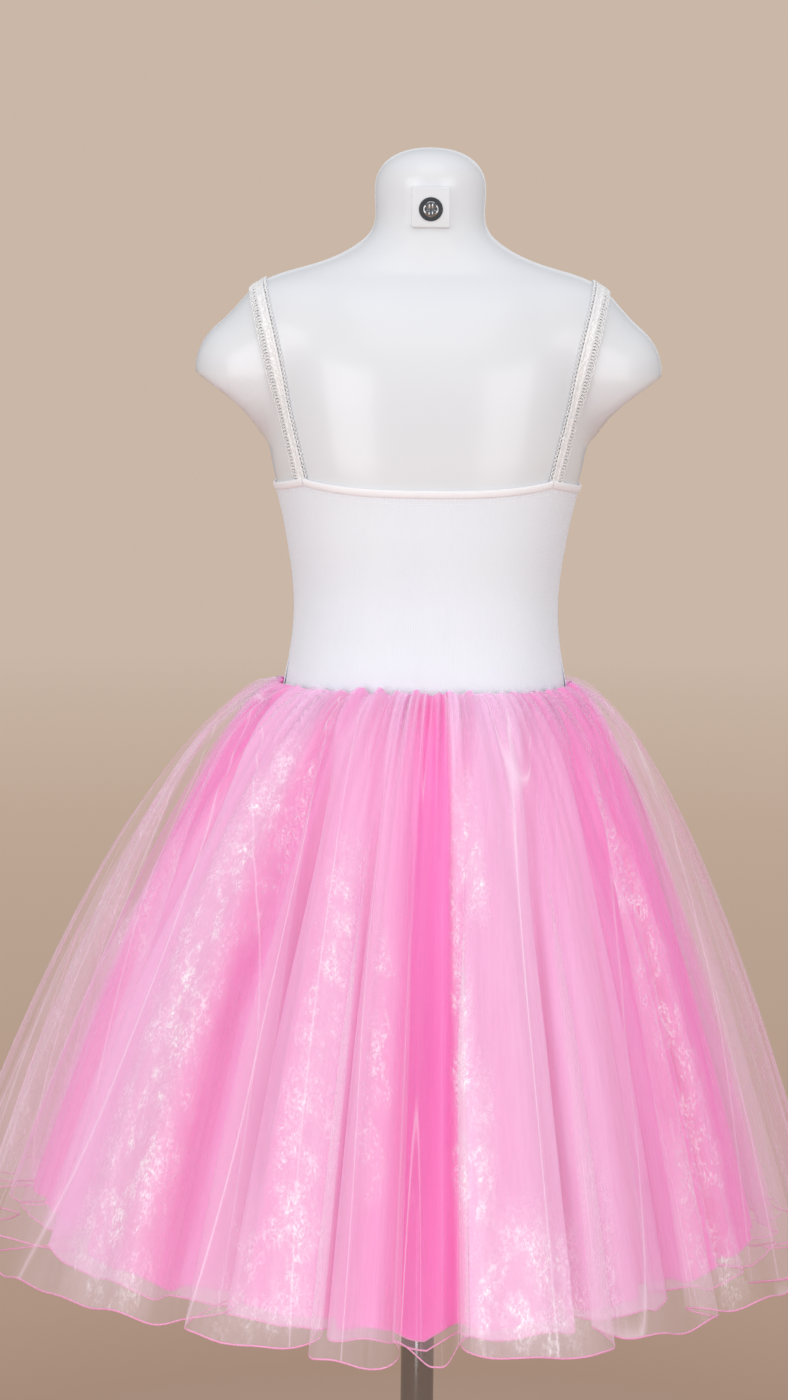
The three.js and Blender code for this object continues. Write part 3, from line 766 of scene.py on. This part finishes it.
def skirtPoints(layer, u, drop):
    # u runs once round from the first fold, drop from 0 at the waist to 1 at the hem
    edges = fluteEdges()
    count = len(edges) - 1
    place = np.clip(u * count, 0, count)
    k = np.minimum(place.astype(int), count - 1)
    t = place - k
    width = edges[k + 1] - edges[k]
    _, sink, lift = np.array(skirt["flutes"], float).T
    sizes = np.diff(edges)
    valley = np.minimum((sizes + np.roll(sizes, 1)) / 2 / skirt["plainFlute"], skirt["deepest"])
    valley = np.maximum(valley, np.maximum(sink, np.roll(sink, 1)) + skirt["leastFold"])

    random = np.random.default_rng(skirt["seed"])
    lean = random.uniform(-skirt["lean"], skirt["lean"], count)
    swell = random.uniform(-skirt["swell"], skirt["swell"], count)
    overLeft, overRight = np.array(skirt["overhangs"]).T

    skew = t + lean[k] * np.sin(np.pi * t) ** 2
    wave = 0.5 + 0.5 * np.cos(2 * np.pi * skew)
    wave = wave ** skirt["foldSharpness"]
    deep = np.where(t < 0.5, valley[k], valley[(k + 1) % count])
    fold = deep * wave + sink[k] * (1 - wave)
    crest = 1 - wave

    overhang = np.where(t < 0.5, overLeft[k], overRight[k]) * layer["overhang"]
    slide = width * overhang * smoothStep(drop, 0.0, 0.6) * np.sin(2 * np.pi * t)
    degrees = edges[k] + width * t - slide
    back = np.radians(degrees)
    degrees = degrees + skirt["waistSpread"] * np.sin(2 * back) * np.exp(-drop / skirt["waistReach"])
    turn = np.radians(degrees)
    angle = degrees - 90
    foldMilk = skirt["foldMilk"]
    milk = milkiness(degrees, layer["milkSpread"]) * blendTo(foldMilk, 1, smoothStep(crest, 0.1, 0.7))

    rippling = np.random.default_rng(layer["rippleSeed"])
    broad = bandNoise(rippling, turn, drop, *ripples["broad"])
    narrow = bandNoise(rippling, turn, drop, *ripples["narrow"])
    gathering = np.random.default_rng(skirt["seed"] + 1)
    tight = bandNoise(gathering, turn, drop, *ripples["tight"])
    loose = bandNoise(gathering, turn, drop, *ripples["loose"])

    hemHeight = layer["hem"] - skirt["hemTilt"] * np.cos(np.radians(angle))
    evenLift = np.interp(place - 0.5, np.arange(count), lift, period=count)
    hemHeight = hemHeight + blendTo(lift[k] * crest, evenLift, layer["evenHem"]) + 2.0 * broad
    pops = smoothStep(bandNoise(rippling, turn, drop, *ripples["pops"]), 0.5, 2.0)
    topEdge = skirt["top"] + layer["top"] * skirt["topStep"] + 0.7 * loose + 0.2 * narrow
    topEdge = topEdge + skirt["popHeight"] * pops
    height = blendTo(topEdge, hemHeight, drop)
    seat = bodiceRadius(angle, np.full_like(u, skirt["top"]), True) + bodice["thickness"] + 0.3
    waist = seat + layer["top"] + 1.4
    hem = layer["hemRadius"] - skirt["depthLoss"] * np.sin(np.radians(angle)) ** 2 + swell[k] * crest
    flare = np.maximum(drop, 0) ** layer["flare"]
    grow = np.maximum(drop, 0) ** 0.8
    radius = blendTo(waist, hem, flare) - layer["depth"] * grow * fold
    radius = radius + layer["ripple"] * (0.6 * broad + 0.08 * narrow) * smoothStep(drop, 0, 0.8)
    near = sum(size * np.exp(-drop / reach) for size, reach in (skirt["gathersNear"], skirt["gathersFar"]))
    radius = radius + skirt["popDepth"] * pops * np.exp(-drop / skirt["popReach"])
    radius = radius + near * (0.5 * tight + 0.3 * loose) * (0.6 + 0.4 * smoothStep(drop, 0, 0.02))

    points = around(angle, radius, height)
    points[:, 0] -= skirt["sway"] * flare
    gather = np.exp(-drop / 0.1) * (0.5 + 0.25 * tight)
    return points, {"crest": milk, "gather": np.clip(gather, 0, 1), "degrees": degrees}


def crinkleHeights(points, degrees, drop):
    # sharp little creases, longer than they are wide, and the mask of the patches that hold them, which
    # also places the painted glints and painted sheen
    heights = np.zeros(len(points))
    crumpleAndPaintedSheen = np.zeros(len(points))
    wrapped = (degrees + 90) % 360 - 90
    for middle, half, start, end, strength in crumpleAndPaintedGlintPatches:
        off = np.abs((wrapped - middle + 180) % 360 - 180) / half
        begun = smoothStep(drop, start - 0.05, start + 0.1)
        over = smoothStep(drop, end - 0.06, end + 0.05)
        crumpleAndPaintedSheen = np.maximum(crumpleAndPaintedSheen, strength * np.clip(1.25 - off, 0, 1) * (begun * (1 - over)))
    for i in np.nonzero(crumpleAndPaintedSheen > 0.02)[0]:
        x, y, z = points[i]
        spot = Vector((x / 11, y / 11, z / 27))
        heights[i] = noise.ridged_multi_fractal(spot, 0.9, 2.1, 3, 0.9, 2.0) - 0.9
    return heights, crumpleAndPaintedSheen


def makeSkirtLayer(name, key, material, node):
    layer = layers[key]

    def place(u, v):
        drop = 1 - v
        drop = 0.35 * drop + 0.65 * drop ** 1.35  # rows lie closer at the waist
        points, marks = skirtPoints(layer, u, drop)
        degrees = marks.pop("degrees")
        marks["crumpleAndPaintedSheen"] = 0 * u
        if layer["crinkle"] > 0.5:
            heights, crumpleAndPaintedSheen = crinkleHeights(points, degrees, drop)
            marks["crumpleAndPaintedSheen"] = crumpleAndPaintedSheen
            outward = unit(points * np.array([1, 1, 0]))
            points = points + outward * (layer["crinkle"] * heights * crumpleAndPaintedSheen)[:, None]
        return points, marks

    bm = spreadGrid(layer["across"], layer["down"], place, wrapped=True)
    return makePiece(name, bm, material, [node])


def makeHem(name, key, material):
    layer = layers[key]

    def place(u, v):
        points, _ = skirtPoints(layer, u, np.ones_like(u))
        outward = unit(points * np.array([1, 1, 0]))
        turn = 2 * np.pi * v[:, None]
        return points + 0.42 * (np.cos(turn) * outward + np.sin(turn) * np.array([0, 0, 1.5])), {}

    bm = spreadGrid(layer["across"], 6, place, wrapped=True)
    bmesh.ops.recalc_face_normals(bm, faces=bm.faces)
    return makePiece(name, bm, material)


# finishes

def formPlasticFinish():
    material, tree = newMaterial("formPlastic")
    space = patternSpace(tree, "Object")
    cloud = noiseNode(tree, space, 9, 3)
    base = mixColour(tree, cloud, colour(226, 229, 233), colour(234, 237, 241))
    ripple = noiseNode(tree, space, 26, 2)
    grain = noiseNode(tree, space, 1400, 2)
    waves = mathNode(tree, "MULTIPLY", ripple, 4.0)
    height = mathNode(tree, "ADD", waves, mathNode(tree, "MULTIPLY", grain, 0.12))
    rough = mathNode(tree, "MULTIPLY_ADD", cloud, 0.1, 0.2)
    finishMaterial(tree, {"Coat Weight": 0.25, "Coat Roughness": 0.12, "Specular IOR Level": 0.45},
                   {"Base Color": base, "Roughness": rough, "Normal": bumpNode(tree, height, 0.12, 0.0004)})
    return material


def chromeFinish():
    material, tree = newMaterial("polishedChrome")
    space = patternSpace(tree, "Object", (1, 1, 0.04))
    lines = noiseNode(tree, space, 900, 2)
    smudge = noiseNode(tree, patternSpace(tree, "Object"), 22, 3)
    rough = mathNode(tree, "MULTIPLY_ADD", smudge, 0.12, 0.05)
    base = mixColour(tree, smudge, colour(150, 152, 155), colour(172, 174, 177))
    finishMaterial(tree, {"Metallic": 1.0},
                   {"Base Color": base, "Roughness": rough, "Normal": bumpNode(tree, lines, 0.05, 0.0002)})
    return material


def grommetFinish():
    material, tree = newMaterial("darkGrommet")
    grain = noiseNode(tree, patternSpace(tree, "Object"), 1800, 2)
    base = mixColour(tree, grain, colour(38, 44, 50), colour(64, 70, 76))
    finishMaterial(tree, {"Roughness": 0.5},
                   {"Base Color": base, "Normal": bumpNode(tree, grain, 0.3, 0.0002)})
    return material


def jerseyFinish():
    material, tree = newMaterial("whiteJersey")
    rows = []
    for direction, scale, bend, stretch in (("X", 42.0, (0.6, 3.0), (1.0, 0.25, 1)),
                                            ("Y", 34.0, (0.8, 4.0), (1, 1, 1))):
        wave = addNode(tree, "ShaderNodeTexWave", wave_type="BANDS", bands_direction=direction,
                       wave_profile="SIN")
        distortion, fineness = bend
        setInputs(wave, {"Scale": scale, "Distortion": distortion, "Detail": 1.0, "Detail Scale": fineness})
        tree.links.new(patternSpace(tree, "UV", stretch), wave.inputs["Vector"])
        rows.append(wave.outputs["Fac"])
    ribs, loops = rows
    cloud = noiseNode(tree, patternSpace(tree, "Object", (1, 1, 0.5)), 24, 4)
    fluff = noiseNode(tree, patternSpace(tree, "Object"), 1500, 2)
    base = mixColour(tree, cloud, colour(234, 241, 250), colour(243, 248, 253))
    knit = mathNode(tree, "MULTIPLY_ADD", ribs, 0.6, mathNode(tree, "MULTIPLY", loops, 0.4))
    soft = mathNode(tree, "MULTIPLY_ADD", fluff, 0.5, mathNode(tree, "MULTIPLY", cloud, 2.5))
    height = mathNode(tree, "ADD", knit, soft)
    finishMaterial(tree, {"Roughness": 0.85, "Sheen Weight": 0.25, "Sheen Roughness": 0.5},
                   {"Base Color": base, "Normal": bumpNode(tree, height, 0.35, 0.0003)})
    return material


def elasticFinish():
    material, tree = newMaterial("plushElastic")
    fluff = noiseNode(tree, patternSpace(tree, "Object"), 1300, 3)
    cloud = noiseNode(tree, patternSpace(tree, "Object"), 60, 2)
    base = mixColour(tree, cloud, colour(244, 243, 247), colour(252, 251, 253))
    finishMaterial(tree, {"Roughness": 0.7, "Sheen Weight": 0.4, "Sheen Roughness": 0.4},
                   {"Base Color": base, "Normal": bumpNode(tree, fluff, 0.5, 0.0004)})
    return material


def laceFinish():
    material, tree = newMaterial("laceElastic")
    # cells as large as the knots that the thread is worked into
    knots = cellNode(tree, patternSpace(tree, "Object", (1, 1, 0.8)), 620.0)
    weave = rampNode(tree, knots.outputs["Distance"], [(0.25, 1.0), (0.75, 0.0)])
    base = mixColour(tree, weave, colour(236, 238, 240), colour(254, 254, 254))
    finishMaterial(tree, {"Roughness": 0.6, "Sheen Weight": 0.3, "Sheen Roughness": 0.4},
                   {"Base Color": base, "Normal": bumpNode(tree, weave, 0.5, 0.0006)})
    return material


# how much each thing adds to a sheer cloth's cover, the least and most cover, and the strength of the
# painted glow
netCover = {"threads": 0.3, "gathers": 0.35, "edge": 0.35, "least": 0.04, "most": 1.0, "paintedGlow": 0.05}
overlayCover = {
    "clear": 0.05, "milk": 0.16, "threads": 0.14, "streaks": 0.03, "folds": 0.6, "crumpleAndPaintedSheen": 0.16,
    "paintedGlints": 0.65, "gathers": 0.12, "edge": 0.4, "least": 0.03, "most": 0.96, "paintedGlow": 0.06,
}


def edgeOnShare(tree, blend, power):
    # cloth seen along its surface covers more, as its threads close up
    edge = addNode(tree, "ShaderNodeLayerWeight")
    edge.inputs["Blend"].default_value = blend
    return mathNode(tree, "POWER", edge.outputs["Facing"], power)


def netFinish(name, dark, light, thin, full, roughness):
    # a sheer layer: how much of it is seen depends on its threads and how its folds gather
    material, tree = newMaterial(name)
    threads = noiseNode(tree, patternSpace(tree, "UV", (380, 5, 1)), 2.2, 3, 0.6)
    broad = noiseNode(tree, patternSpace(tree, "UV", (40, 1.5, 1)), 1.0, 3)
    shade = mathNode(tree, "MULTIPLY_ADD", threads, 0.5, mathNode(tree, "MULTIPLY", broad, 0.5))
    base = mixColour(tree, shade, dark, light)
    cover = addShares(tree, thin, [
        (attributeNode(tree, "crest"), full - thin),
        (mathNode(tree, "SUBTRACT", shade, 0.5), netCover["threads"]),
        (attributeNode(tree, "gather"), netCover["gathers"]),
        (edgeOnShare(tree, 0.45, 3.5), netCover["edge"]),
    ])
    alpha = clampNode(tree, cover, netCover["least"], netCover["most"])
    height = mathNode(tree, "MULTIPLY_ADD", threads, 0.8, broad)
    # painted glow: an emission that stands in for light that has come through the folds behind
    finishMaterial(tree, {"Roughness": roughness, "Sheen Weight": 0.3, "Sheen Roughness": 0.35,
                          "Emission Strength": netCover["paintedGlow"]},
                   {"Base Color": base, "Emission Color": base, "Alpha": alpha,
                    "Normal": bumpNode(tree, height, 0.25, 0.0006)})
    return material


def overlayFinish():
    material, tree = newMaterial("organzaClear")
    threads = noiseNode(tree, patternSpace(tree, "UV", (420, 4, 1)), 2.2, 3, 0.65)
    broad = noiseNode(tree, patternSpace(tree, "UV", (50, 1.2, 1)), 1.0, 3)
    folds = noiseNode(tree, patternSpace(tree, "UV", (44, 0.6, 1)), 1.0, 0)
    creases = noiseNode(tree, patternSpace(tree, "Object", (1, 1, 0.4)), 150, 3, 0.6, distortion=1.5)
    patches = noiseNode(tree, patternSpace(tree, "Object", (1, 1, 0.3)), 75, 3, 0.65)
    facets = cellNode(tree, patternSpace(tree, "Object", (1, 1, 0.55)), 640.0)
    split = addNode(tree, "ShaderNodeSeparateColor")
    tree.links.new(facets.outputs["Color"], split.inputs[0])
    crumpleAndPaintedSheen = attributeNode(tree, "crumpleAndPaintedSheen")

    # painted glints: small bright facets and thin ridges, in clusters where the cloth is crumpled
    grain = rampNode(tree, split.outputs[0], [(0.45, 0.0), (0.8, 0.6), (1.0, 1.0)])
    clusters = rampNode(tree, patches, [(0.42, 0.0), (0.62, 1.0)])
    paintedSparkle = addShares(tree, 0.1, [(nearHalf(tree, creases, 0.035), 0.65), (grain, 0.6)])
    paintedGlint = mathNode(tree, "MULTIPLY", mathNode(tree, "MULTIPLY", crumpleAndPaintedSheen, clusters), paintedSparkle)
    # long thin lines where the cloth is folded back
    fold = mathNode(tree, "MULTIPLY", nearHalf(tree, folds, 0.006), broad)
    streak = rampNode(tree, threads, [(0.58, 0.0), (0.75, 1.0)])

    shade = mathNode(tree, "MULTIPLY_ADD", threads, 0.55, mathNode(tree, "MULTIPLY", broad, 0.45))
    tint = mixColour(tree, shade, colour(252, 212, 238), colour(253, 240, 251))
    # painted glints: there the colour turns near white
    base = mixColour(tree, mathNode(tree, "MINIMUM", paintedGlint, 1.0), tint, colour(255, 253, 255))
    # the crumpled patches get a painted sheen of more cover, and the painted glints more still
    cover = addShares(tree, overlayCover["clear"], [
        (attributeNode(tree, "crest"), overlayCover["milk"]),
        (mathNode(tree, "SUBTRACT", shade, 0.5), overlayCover["threads"]),
        (streak, overlayCover["streaks"]),
        (fold, overlayCover["folds"]),
        (crumpleAndPaintedSheen, overlayCover["crumpleAndPaintedSheen"]),
        (paintedGlint, overlayCover["paintedGlints"]),
        (attributeNode(tree, "gather"), overlayCover["gathers"]),
        (edgeOnShare(tree, 0.4, 4.0), overlayCover["edge"]),
    ])
    alpha = clampNode(tree, cover, overlayCover["least"], overlayCover["most"])
    crumple = mathNode(tree, "MULTIPLY", crumpleAndPaintedSheen, mathNode(tree, "ADD", grain, creases))
    height = mathNode(tree, "MULTIPLY_ADD", threads, 0.5, crumple)
    rough = mathNode(tree, "MULTIPLY_ADD", crumpleAndPaintedSheen, -0.14, 0.36)
    # painted glow: an emission that stands in for light that has come through the folds behind
    finishMaterial(tree, {"Specular IOR Level": 0.8, "Sheen Weight": 0.4, "Sheen Roughness": 0.3,
                          "Emission Strength": overlayCover["paintedGlow"]},
                   {"Base Color": base, "Emission Color": base, "Alpha": alpha, "Roughness": rough,
                    "Normal": bumpNode(tree, height, 0.5, 0.0012)})
    return material


def hemFinish(name, shade):
    material, tree = newMaterial(name)
    twist = noiseNode(tree, patternSpace(tree, "UV", (900, 1, 1)), 3.0, 2)
    base = mixColour(tree, twist, shade, colour(250, 200, 228))
    finishMaterial(tree, {"Roughness": 0.5, "Sheen Weight": 0.3},
                   {"Base Color": base, "Normal": bumpNode(tree, twist, 0.6, 0.0004)})
    return material


# the room

room = {
    "backdrop": colour(202, 183, 167), "floorRadius": 9.0,
    # floor colours by distance in metres from the middle: a painted shade, darker towards the middle,
    # fading to the backdrop's colour far off
    "paintedFloorShades": [
        (0.4, colour(163, 136, 119)), (0.75, colour(176, 148, 132)), (2.2, colour(184, 160, 143)),
        (4.2, colour(190, 167, 149)), (6.0, colour(196, 175, 158)), (9.0, colour(202, 183, 167)),
    ],
    "camera": (-0.021, -2.0, 0.8), "aim": (-0.021, 0.0, 0.624), "lens": 75.6, "roll": 0.6,
    # each light: name, place, the point it faces, width and height, watts
    "lights": [
        ("softLeft", (-1.7, -2.3, 0.95), (0, 0, 0.6), (1.5, 2.2), 25),
        ("softRight", (1.7, -2.3, 0.95), (0, 0, 0.6), (1.5, 2.2), 20),
        ("softTop", (0, -1.2, 2.5), (0, 0, 0.6), (1.6, 1.2), 5),
        ("softLow", (-0.07, -0.55, 0.1), (0, 0, 0.16), (0.15, 0.18), 0.22),
        ("softBehind", (0.2, 2.6, 1.6), (0, 0, 0.6), (2.2, 1.8), 7),
    ],
    "lightTint": (0.985, 0.99, 1.0),
}


def makeRoom():
    world = bpy.data.worlds.new("studio")
    scene.world = world
    world.use_nodes = True
    tree = world.node_tree
    tree.nodes.clear()
    path = addNode(tree, "ShaderNodeLightPath")
    seen = setInputs(addNode(tree, "ShaderNodeBackground"), {"Color": room["backdrop"], "Strength": 1.0})
    # mirrors see a darker room than the cloth does
    power = mathNode(tree, "MULTIPLY_ADD", path.outputs["Is Glossy Ray"], -0.42, 0.7)
    soft = setInputs(addNode(tree, "ShaderNodeBackground"), {"Color": colour(249, 249, 252)})
    tree.links.new(power, soft.inputs["Strength"])
    mix = addNode(tree, "ShaderNodeMixShader")
    tree.links.new(path.outputs["Is Camera Ray"], mix.inputs[0])
    tree.links.new(soft.outputs[0], mix.inputs[1])
    tree.links.new(seen.outputs[0], mix.inputs[2])
    tree.links.new(mix.outputs[0], addNode(tree, "ShaderNodeOutputWorld").inputs[0])

    bm = bmesh.new()
    bmesh.ops.create_circle(bm, cap_ends=True, radius=room["floorRadius"], segments=96)
    bmesh.ops.translate(bm, vec=(0, 0, -0.0006), verts=bm.verts)
    mesh = bpy.data.meshes.new("studioFloor")
    bm.to_mesh(mesh)
    bm.free()
    floor = bpy.data.objects.new("studioFloor", mesh)
    scene.collection.objects.link(floor)
    material, tree = newMaterial("paleFloor")
    space = patternSpace(tree, "Object")
    length = addNode(tree, "ShaderNodeVectorMath", operation="LENGTH")
    tree.links.new(space, length.inputs[0])
    distance = length.outputs["Value"]
    matt = {"Roughness": 0.9, "Specular IOR Level": 0.1}
    shaded = setInputs(addNode(tree, "ShaderNodeBsdfPrincipled"), matt)
    grain = noiseNode(tree, space, 240, 3)
    base = mixColour(tree, grain, colour(196, 176, 160), colour(206, 188, 172))
    tree.links.new(base, shaded.inputs["Base Color"])
    shades = [(far / 10, shade) for far, shade in room["paintedFloorShades"]]
    paintedFloorShade = rampNode(tree, mathNode(tree, "MULTIPLY", distance, 0.1), shades)
    # from 0.16 to 0.5 m out, the lit floor gives way to a painted glow in the painted floor shades
    paintedGlow = setInputs(addNode(tree, "ShaderNodeEmission"), {"Strength": 1.0})
    tree.links.new(paintedFloorShade, paintedGlow.inputs["Color"])
    share = rampNode(tree, distance, [(0.16, 0.0), (0.5, 1.0)])
    mix = addNode(tree, "ShaderNodeMixShader")
    tree.links.new(share, mix.inputs[0])
    tree.links.new(shaded.outputs[0], mix.inputs[1])
    tree.links.new(paintedGlow.outputs[0], mix.inputs[2])
    tree.links.new(mix.outputs[0], addNode(tree, "ShaderNodeOutputMaterial").inputs[0])
    mesh.materials.append(material)


def makeLights():
    for name, place, aim, size, power in room["lights"]:
        light = bpy.data.lights.new(name, "AREA")
        light.shape = "RECTANGLE"
        light.size, light.size_y = size
        light.energy = power
        light.color = room["lightTint"]
        lamp = bpy.data.objects.new(name, light)
        lamp.location = place
        lamp.visible_camera = False
        lamp.rotation_euler = (Vector(aim) - Vector(place)).to_track_quat("-Z", "Y").to_euler()
        scene.collection.objects.link(lamp)


def makeCamera():
    data = bpy.data.cameras.new("camera")
    data.lens, data.sensor_width = room["lens"], 36
    data.clip_start, data.clip_end = 0.05, 60
    camera = bpy.data.objects.new("camera", data)
    camera.location = room["camera"]
    aim = (Vector(room["aim"]) - Vector(room["camera"])).to_track_quat("-Z", "Y")
    camera.rotation_euler = (aim @ Quaternion((0, 0, 1), math.radians(room["roll"]))).to_euler()
    scene.collection.objects.link(camera)
    scene.camera = camera


# putting it together

makeCamera()
makeRoom()
makeLights()
scene.view_settings.view_transform = "Standard"
scene.cycles.transparent_max_bounces = 16
print("camera, lights and floor ready")

plastic, chrome = formPlasticFinish(), chromeFinish()
makeForm(plastic)
makeNeckPad(plastic)
makeNeckRing(grommetFinish())
makeNeckBolt(chrome)
makeStand(chrome)
print("form and stand ready")

jersey, elastic, lace = jerseyFinish(), elasticFinish(), laceFinish()
makeBodicePanel("bodiceBack", -180, 0, False, jersey, "bodice_back")
makeBodicePanel("bodiceFront", 0, 180, True, jersey, "bodice_front")
backStrap, frontStrap = bodice["backStrapAngle"], bodice["frontStrapAngle"]
makeBinding("bindingBack", -180 - backStrap, backStrap, elastic, "binding_back")
makeBinding("bindingUnderarmRight", backStrap, frontStrap, elastic, "binding_underarm_right")
makeBinding("bindingFront", frontStrap, 180 - frontStrap, elastic, "binding_front")
makeBinding("bindingUnderarmLeft", 180 - frontStrap, 180 - backStrap, elastic, "binding_underarm_left")
makeStitches("stitchesBack", -180 - backStrap, backStrap, (1.4, 1.4 + stitch["twinGap"]), 0, elastic)
makeStitches("stitchesFront", frontStrap, 180 - frontStrap, (1.4, 1.4 + stitch["twinGap"]), 0, elastic)
makeStitches("stitchesUnderarmRight", backStrap, frontStrap, (1.6,), 0.7, elastic)
makeStitches("stitchesUnderarmLeft", 180 - frontStrap, 180 - backStrap, (1.6,), 0.7, elastic)
print("bodice ready")

for sideName, side in (("Right", 1), ("Left", -1)):
    table = strapTable(side)
    makeStrapBand("strap" + sideName, table, side, lace, "strap_" + sideName.lower())
    makeStrapLace("strapLace" + sideName, table, lace)
print("straps ready")

innerNet = netFinish("netHotPink", colour(253, 108, 196), colour(253, 140, 214), 0.95, 0.97, 0.55)
middleNet = netFinish("organzaPink", colour(255, 184, 236), colour(255, 212, 246), 0.06, 0.66, 0.5)
skirtPieces = [
    ("skirtInner", "inner", "net_hot_pink", innerNet, colour(228, 84, 160), (2.2, 0.37), 0.53),
    ("skirtMiddle", "middle", "organza_pink", middleNet, colour(235, 105, 176), (2.5, 0.38), 0.6),
    ("skirtOverlay", "overlay", "organza_clear", overlayFinish(), colour(236, 112, 178), (3.0, 0.42), 0.76),
]
for name, key, slot, finish, hemShade, flat, cut in skirtPieces:
    sheet = makeSkirtLayer(name, key, finish, "skirt_" + key)
    hem = makeHem(name + "Hem", key, hemFinish(name + "Hem", hemShade))
print("skirt ready")
